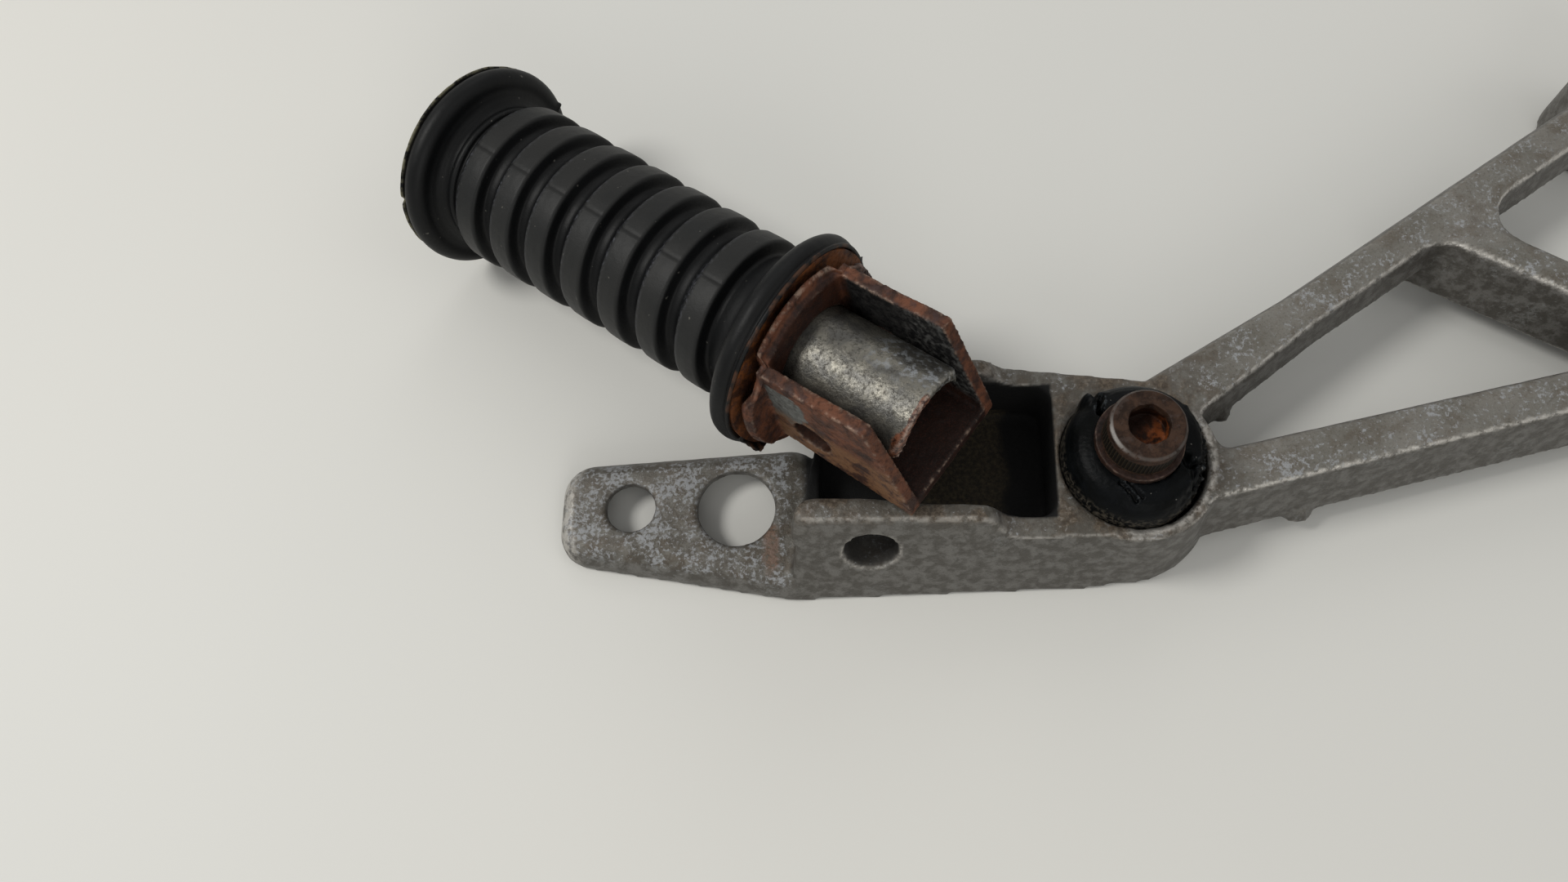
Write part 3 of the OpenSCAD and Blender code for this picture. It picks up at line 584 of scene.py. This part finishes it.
def make_bolt():
    """The screw sits a little off the rubber's centre. Its head is slimmer and taller than the CAD screw."""
    obj = softened_copy("damper_bolt", "bolt_skin", 0.24, 2)
    skin = Skin(obj)
    lo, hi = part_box("damper_bolt")
    mid = (lo + hi) / 2 / MM
    base = hi.z / MM - 6.0
    proud = skin.bulge()
    dx, dy, z = skin.co[:, 0] - mid.x, skin.co[:, 1] - mid.y, skin.co[:, 2]
    r = np.hypot(dx, dy)
    head = smooth(z, base - 0.3, base + 0.3)
    slim = 1.0 - 0.105 * smooth(r, 4.4, 7.6) * head
    skin.co[:, 0] = mid.x + dx * slim + SCREW_OFF[0]
    skin.co[:, 1] = mid.y + dy * slim + SCREW_OFF[1]
    skin.co[:, 2] = z + np.clip(z - base, 0.0, 10.0) * 0.25
    # The hex is rounded off by wear
    walls = smooth(4.35 - r, 0.0, 0.25) * smooth(z, base + 2.3, base + 2.6) * smooth(r, 2.6, 3.3)
    rounder = 1.0 + walls * 0.75 * (3.95 + 0.15 * speckle(skin.co, 1.0, 50.0) - r) / np.maximum(r, 1.0)
    skin.co[:, 0] = mid.x + SCREW_OFF[0] + (skin.co[:, 0] - mid.x - SCREW_OFF[0]) * rounder
    skin.co[:, 1] = mid.y + SCREW_OFF[1] + (skin.co[:, 1] - mid.y - SCREW_OFF[1]) * rounder
    skin.push(0.05 * speckle(skin.co, 1.2) * (1 + 2.5 * smooth(4.6 - r, 0.0, 0.4)))
    # Painted highlight on the head's edge toward the left lamp
    left_edge = near_angle(np.degrees(np.arctan2(dy, dx)), 198.0, 40.0)
    skin.keep("wear_and_highlight", smooth(r, 7.2, 7.5) * smooth(z, base + 4.9, base + 5.3) * (0.12 + 0.88 * left_edge)
              * smooth(7.95 - r, 0.0, 0.2))
    skin.keep("knurl", smooth(r, 7.5, 7.8) * smooth(base + 4.9 - z, 0.0, 0.3) * smooth(z, base + 0.3, base + 0.6))
    socket = smooth(4.5 - r, 0.0, 0.35) * smooth(base + 5.75 - z, 0.0, 0.5)
    skin.keep("socket", socket)
    # Painted light on the socket's lower right side
    skin.keep("socket_lit_rust", smooth(0.9 * dx - dy, -2.5, 3.0))
    finish_piece(obj, bolt_material((mid.x + SCREW_OFF[0], mid.y + SCREW_OFF[1])), "damper_bolt")


def make_sleeve():
    """The sleeve with the thin collar that shows under the screw's head."""
    obj = softened_copy("damper_sleeve", "sleeve_skin", 0.3, 2)
    skin = Skin(obj)
    dx, dy, z = skin.co[:, 0] - DAMPER_AT[0], skin.co[:, 1] - DAMPER_AT[1], skin.co[:, 2]
    r = np.hypot(dx, dy)
    slim = 1.0 - 0.1 * smooth(r, 7.6, 9.2)
    skin.co[:, 0] = DAMPER_AT[0] + dx * slim + SCREW_OFF[0]
    skin.co[:, 1] = DAMPER_AT[1] + dy * slim + SCREW_OFF[1]
    skin.push(0.08 * speckle(skin.co, 1.1))
    skin.keep("wear_and_highlight", smooth(skin.bulge(), 0.01, 0.04) * 0.5)
    finish_piece(obj, rust_material("sleeve_steel", tone(24, 15, 11), tone(46, 28, 20), tone(50, 42, 37)),
                 "damper_sleeve")


def lathe(name, profile, steps, carve, place):
    """A closed mesh turned round the local X axis from (station, radius) points in mm.

    carve takes arrays of station, radius and angle in degrees and gives new ones."""
    s, r = np.array(profile).T
    turn = np.arange(steps) * 360.0 / steps
    shape = (len(s), steps)
    s = np.repeat(s, steps)
    r = np.repeat(r, steps)
    a = np.tile(turn, shape[0])
    s, r = carve(s, r, a)
    arc = np.radians(a)
    points = np.stack([s, r * np.cos(arc), r * np.sin(arc)], 1)
    spin = np.array(place)
    points = points * MM @ spin[:3, :3].T + spin[:3, 3]
    i, k = np.meshgrid(np.arange(shape[0] - 1), np.arange(steps), indexing="ij")
    n = (k + 1) % steps
    quads = np.stack([i * steps + k, i * steps + n, (i + 1) * steps + n, (i + 1) * steps + k], -1)
    faces = quads.reshape(-1, 4).tolist()
    if np.hypot(profile[0][0] - profile[-1][0], profile[0][1] - profile[-1][1]) < 1e-6:
        pass
    else:
        faces.append(list(range(steps)))
        faces.append([(shape[0] - 1) * steps + v for v in reversed(range(steps))])
    mesh = bpy.data.meshes.new(name)
    mesh.from_pydata(points.tolist(), [], faces)
    bm = bmesh.new()
    bm.from_mesh(mesh)
    bmesh.ops.remove_doubles(bm, verts=bm.verts, dist=0.02 * MM)
    bmesh.ops.recalc_face_normals(bm, faces=bm.faces)
    bm.to_mesh(mesh)
    bm.free()
    mesh.polygons.foreach_set("use_smooth", [True] * len(mesh.polygons))
    return link_mesh(name, mesh)


def finer(points, gap):
    """Adds points so that no two neighbours of a profile are further apart than a gap."""
    out = [points[0]]
    for (s0, r0), (s1, r1) in zip(points, points[1:]):
        n = max(1, math.ceil(math.hypot(s1 - s0, r1 - r0) / gap))
        out += [(s0 + (s1 - s0) * i / n, r0 + (r1 - r0) * i / n) for i in range(1, n + 1)]
    return out


def arc_points(s, r, rad, start, stop, n):
    """Points of an arc. Angle 0 points away from the axis and 90 along it."""
    turns = [math.radians(start + (stop - start) * i / n) for i in range(n + 1)]
    return [(s + rad * math.sin(a), r + rad * math.cos(a)) for a in turns]


# Ribs of the grip: pitch, last station, and crest radius at both ends
PITCH = 9.95
LAST = 59.7
TICK_AT = 80.0


def crest_r(s):
    return 17.4 - 0.9 * (1 - s / LAST)


def grip_profile():
    p = [(-11.2, 10.7), (-11.2, 20.38), (-11.95, 20.4), (-12.1, 20.8), (-11.95, 21.25), (-11.65, 21.35),
         (-11.45, 20.9)]
    p += arc_points(-9.35, 19.75, 2.15, -64, 88, 14)
    p += [(-7.1, 18.4), (-6.9, 17.2), (-6.4, 16.0), (-5.6, 15.1), (-4.5, 14.55), (-2.9, 14.3)]
    for i in range(7):
        s = i * PITCH
        top = crest_r(s)
        p += [(s - 1.0, top - 2.75), (s - 0.45, top - 2.55), (s - 0.2, top - 2.0), (s + 0.02, top - 0.7),
              (s + 0.14, top - 0.25), (s + 0.45, top), (s + 2.7, top + 0.06), (s + 4.9, top),
              (s + 5.4, top - 0.2), (s + 5.8, top - 0.7), (s + 6.3, top - 1.55), (s + 7.0, top - 2.3),
              (s + 7.9, top - 2.75)]
    s, top = LAST, crest_r(LAST)
    p += [(s + 8.3, top - 2.75), (s + 8.45, top - 2.2), (s + 8.7, top - 1.85), (s + 9.6, top - 1.8),
          (s + 9.9, top - 2.1), (s + 10.3, top - 2.2), (s + 11.2, top - 1.7), (s + 12.0, top - 0.6),
          (s + 12.4, top + 0.9)]
    p += arc_points(74.4, 19.45, 2.45, -84, 62, 14)
    p += [(76.7, 20.75), (76.85, 21.3), (77.1, 21.55), (77.28, 21.4), (77.3, 20.8), (77.3, 0.02)]
    return finer(p, 0.55)


def near_angle(a, mid, width):
    """1 at an angle, falling off to 0 over a width in degrees."""
    away = np.abs((a - mid + 180.0) % 360.0 - 180.0)
    return 1.0 - smooth(away, 0.0, width)


def lump(s, a, at_s, at_a, size, r):
    """A round bump on the surface at a station and an angle."""
    away = ((a - at_a + 180.0) % 360.0 - 180.0) * math.pi / 180.0 * r
    return np.exp(-((s - at_s) ** 2 + away ** 2) / (size * size))


def carve_grip(s, r, a):
    arc = np.radians(a)
    points = np.stack([s, r * np.cos(arc), r * np.sin(arc)], 1)
    wave = speckle(points, 11.0, 3.0)
    fine = speckle(points, 1.7, 9.0)
    on = smooth(r, 13.0, 14.0)
    r = r + on * (0.10 * wave + 0.03 * fine)
    # Mould ticks across the crests
    crest = smooth(r - crest_r(np.clip(s, 0.0, LAST)), -0.5, -0.1) * (s > -1.0) * (s < 66.0)
    for side in (TICK_AT, TICK_AT + 180.0):
        r = r - 0.2 * crest * near_angle(a, side, 1.6)
    # Flash nubs
    for at_s, at_a, size, high in ((72.0, 182.0, 0.6, 1.3), (28.5, 158.0, 0.4, 0.7), (27.0, 170.0, 0.4, 0.5),
                                   (-9.4, 178.0, 0.45, 0.9), (-11.5, 176.0, 0.4, 0.8), (47.0, 172.0, 0.4, 0.4)):
        r = r + high * lump(s, a, at_s, at_a, size, 20.0)
    # The inner flange bends over the washer on its upper side
    inner = smooth(-s, 5.5, 8.5)
    s = s - 0.9 * inner * near_angle(a, TICK_AT, 80.0) - 0.5 * smooth(-s, 11.2, 11.9) * near_angle(a, TICK_AT, 75.0)
    s = s + 0.6 * inner * (near_angle(a, -10.0, 50.0) + near_angle(a, 170.0, 50.0))
    # Torn lip on the inner flange
    lip = smooth(-s, 10.8, 11.4) * smooth(r, 19.0, 20.0)
    r = r + lip * near_angle(a, 325.0, 13.0) * (1.1 + 1.0 * speckle(points, 0.9, 21.0))
    s = s - lip * near_angle(a, 325.0, 12.0) * (0.9 + 0.7 * speckle(points, 0.9, 25.0))
    r = r - lip * near_angle(a, 344.0, 4.0) * 1.2
    # Crack and chips along the outer lip
    rim = smooth(s, 76.3, 76.8) * smooth(r, 19.5, 20.3)
    r = r - rim * (0.35 * np.maximum(speckle(points, 3.0, 5.0), 0.0) + 0.7 * near_angle(a, 26.0, 3.0))
    return s, r


def make_grip():
    obj = lathe("grip_skin", grip_profile(), 280, carve_grip, REST)
    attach(obj, "root")
    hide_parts("peg_rubber")
    skin = Skin(obj, REST)
    s, y, z = skin.place.T
    a = np.degrees(np.arctan2(z, y))
    r = np.hypot(y, z)
    rib_s = np.mod(s, PITCH)
    ribs = smooth(s, -1.0, 0.0) * smooth(67.0 - s, 0.0, 1.0)
    slope = smooth(rib_s, 4.9, 5.5) * smooth(7.6 - rib_s, 0.0, 1.6) * ribs
    # Scuffs on the slopes up to each crest, partly a painted highlight
    skin.keep("scuff_and_sheen", np.maximum(slope * near_angle(a, TICK_AT - 12.0, 38.0),
                                  0.35 * smooth(rib_s, 4.6, 5.1) * smooth(6.4 - rib_s, 0.0, 0.8) * ribs))
    skin.keep("crest", smooth(r - crest_r(np.clip(s, 0.0, LAST)), -0.45, -0.12) * ribs)
    skin.keep("tick", near_angle(a, TICK_AT, 1.7) * smooth(r - crest_r(np.clip(s, 0.0, LAST)), -0.6, -0.2) * ribs)
    lip_in = smooth(-s - 1.4 * near_angle(a, TICK_AT, 78.0), 11.1, 11.6) * smooth(r, 18.0, 19.5)
    lip_out = smooth(s, 76.4, 76.8) * smooth(r, 19.8, 20.8)
    skin.keep("stain", lip_in)
    skin.keep("yellow", lip_out)
    skin.keep("crack", smooth(0.28 - np.abs(s - 76.65), 0.0, 0.2) * smooth(r, 19.5, 20.3)
              + smooth(0.25 - np.abs(s + 11.42), 0.0, 0.2) * smooth(r, 19.5, 20.3))
    finish_piece(obj, grip_material(), "peg_rubber")


def make_damper():
    mid_x, mid_y = DAMPER_AT
    outer, inner, foot, base, rise = 14.15, 7.45, 1.75, 21.0, 7.0
    profile = [(foot, inner), (foot, outer - 0.8), (foot + 0.8, outer), (base + 0.1 * rise, outer)]
    for share, high in ((0.04, 0.36), (0.12, 0.56), (0.23, 0.72), (0.37, 0.85), (0.52, 0.93), (0.7, 0.985), (0.84, 1.0)):
        profile.append((base + high * rise, outer - share * (outer - inner)))
    profile += [(base + rise, inner + 0.3), (base + rise - 0.4, inner), (foot, inner)]
    upright = Matrix(((0, 1, 0, mid_x * MM), (0, 0, 1, mid_y * MM), (1, 0, 0, 0), (0, 0, 0, 1)))

    def carve(s, r, a):
        arc = np.radians(a)
        x, y = r * np.cos(arc), r * np.sin(arc)
        points = np.stack([x, y, s], 1)
        rag = speckle(points, 1.3, 31.0)
        tooth = speckle(points, 0.6, 37.0)
        upper = smooth(s, base - 1.0, base + 0.8)
        # Right side: the rim is gnawed away
        eaten = near_angle(a, -18.0, 66.0) * (1.1 + 0.7 * rag + 0.35 * tooth)
        rim = smooth(r, 10.8, 13.6)
        r = r - rim * np.maximum(eaten, 0.0) * 1.25
        s = s - rim * near_angle(a, -22.0, 62.0) * np.maximum(0.5 + rag, 0.0) * 1.4
        # Notch at the upper left, torn through to the sleeve
        cut_at = 124.0 + 13.0 * smooth(12.2 - r, 0.0, 2.4) + 1.2 * rag
        notch = (1.0 - smooth(np.abs(a - cut_at), 3.2, 4.6)) * smooth(r, 9.3, 9.8) * upper
        # The pointed corners beside the notch stand up
        corner = smooth(a, 127.4, 128.6) * (1.0 - smooth(a, 128.6, 143.0)) * smooth(r, 11.4, 14.1) * upper
        second = smooth(a, 111.0, 119.0) * (1.0 - smooth(a, 119.6, 120.8)) * smooth(r, 11.5, 13.4) * upper
        s = s - notch * 5.5 + (1.0 - notch) * (2.6 * corner + 0.9 * second)
        r = r + corner * smooth(r, 12.8, 14.0) * 0.8
        # Gouges: a torn flap at the lower left and shreds at the right
        for x0, y0, x1, y1, wide, deep in ((-4.5, -7.5, -1.75, -10.8, 0.6, 0.9), (-3.4, -7.3, -0.7, -10.2, 0.4, 0.6),
                                           (7.8, -2.2, 11.9, -11.1, 1.3, 1.6),
                                           (8.6, -4.0, 12.5, -2.0, 0.8, 1.2), (10.0, -7.4, 13.0, -6.0, 0.7, 1.1)):
            ax, ay = x1 - x0, y1 - y0
            t = np.clip(((x - x0) * ax + (y - y0) * ay) / (ax * ax + ay * ay), 0.0, 1.0)
            gap = np.hypot(x - x0 - t * ax, y - y0 - t * ay)
            s = s - upper * deep * (1 - smooth(gap + 0.45 * rag, 0.0, wide)) + upper * 0.45 * np.exp(
                -((gap - wide * 1.15) / 0.4) ** 2) * np.maximum(rag, 0.0)
        nub = near_angle(a, 42.4, 4.0) * smooth(r, 12.0, 13.4) * upper
        s = s + nub * 0.7
        s = s + upper * 0.05 * tooth
        return s, r

    obj = lathe("damper_skin", finer(profile, 0.4), 400, carve, upright)
    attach(obj, "root")
    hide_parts("damper_rubber")
    skin = Skin(obj)
    x, y, z = skin.co.T
    proud = skin.bulge()
    r = np.hypot(x - mid_x, y - mid_y)
    skin.keep("wear_and_highlight", smooth(proud, 0.02, 0.08) * smooth(z, 21.0, 22.0))
    skin.keep("torn", smooth(-proud, 0.01, 0.07) * smooth(z, 20.0, 22.0))
    skin.keep("dust", smooth(r, 12.3, 14.0) * smooth(24.5 - z, 0.0, 1.5))
    finish_piece(obj, damper_material(), "damper_rubber")


make_camera()
scene.view_settings.view_transform = "Standard"


def make_stage():
    mesh = bpy.data.meshes.new("floor")
    bm = bmesh.new()
    bmesh.ops.create_grid(bm, x_segments=1, y_segments=1, size=3.0)
    bm.to_mesh(mesh)
    bm.free()
    floor = link_mesh("floor", mesh)
    floor.location = (0.0, 0.0, -0.1 * MM)
    dress(floor, floor_material())


def area_light(name, spot, size, power, color):
    data = bpy.data.lights.new(name, "AREA")
    data.shape = "DISK"
    data.size = size
    data.energy = power
    data.color = color
    lamp = bpy.data.objects.new(name, data)
    scene.collection.objects.link(lamp)
    spot = Vector(spot)
    aim = Vector((0.03, 0.02, 0.0)) - spot
    lamp.matrix_world = Matrix.Translation(spot) @ aim.to_track_quat("-Z", "Y").to_matrix().to_4x4()


def make_lights():
    area_light("key_left", (-0.72, 0.06, 0.92), 0.34, 6.6, (1.0, 0.985, 0.95))
    area_light("front", (0.25, -1.25, 0.75), 0.7, 3.4, (1.0, 0.99, 0.96))
    area_light("key_right", (1.1, -0.25, 1.4), 0.9, 1.8, (1.0, 0.985, 0.95))
    area_light("rim_far", (0.3, 1.5, 1.3), 1.0, 3.0, (1.0, 0.99, 0.97))
    world = bpy.data.worlds.new("room")
    scene.world = world
    world.use_nodes = True
    background = world.node_tree.nodes["Background"]
    background.inputs["Color"].default_value = (1.0, 1.0, 0.99, 1.0)
    background.inputs["Strength"].default_value = 0.48


make_stage()
make_lights()
make_casting()
make_yoke()
make_core()
make_bolt()
make_sleeve()
make_grip()
make_damper()
dress(NODES["peg_washer"], rust_material("washer_steel", tone(46, 27, 18), tone(112, 66, 34), tone(80, 60, 44)))
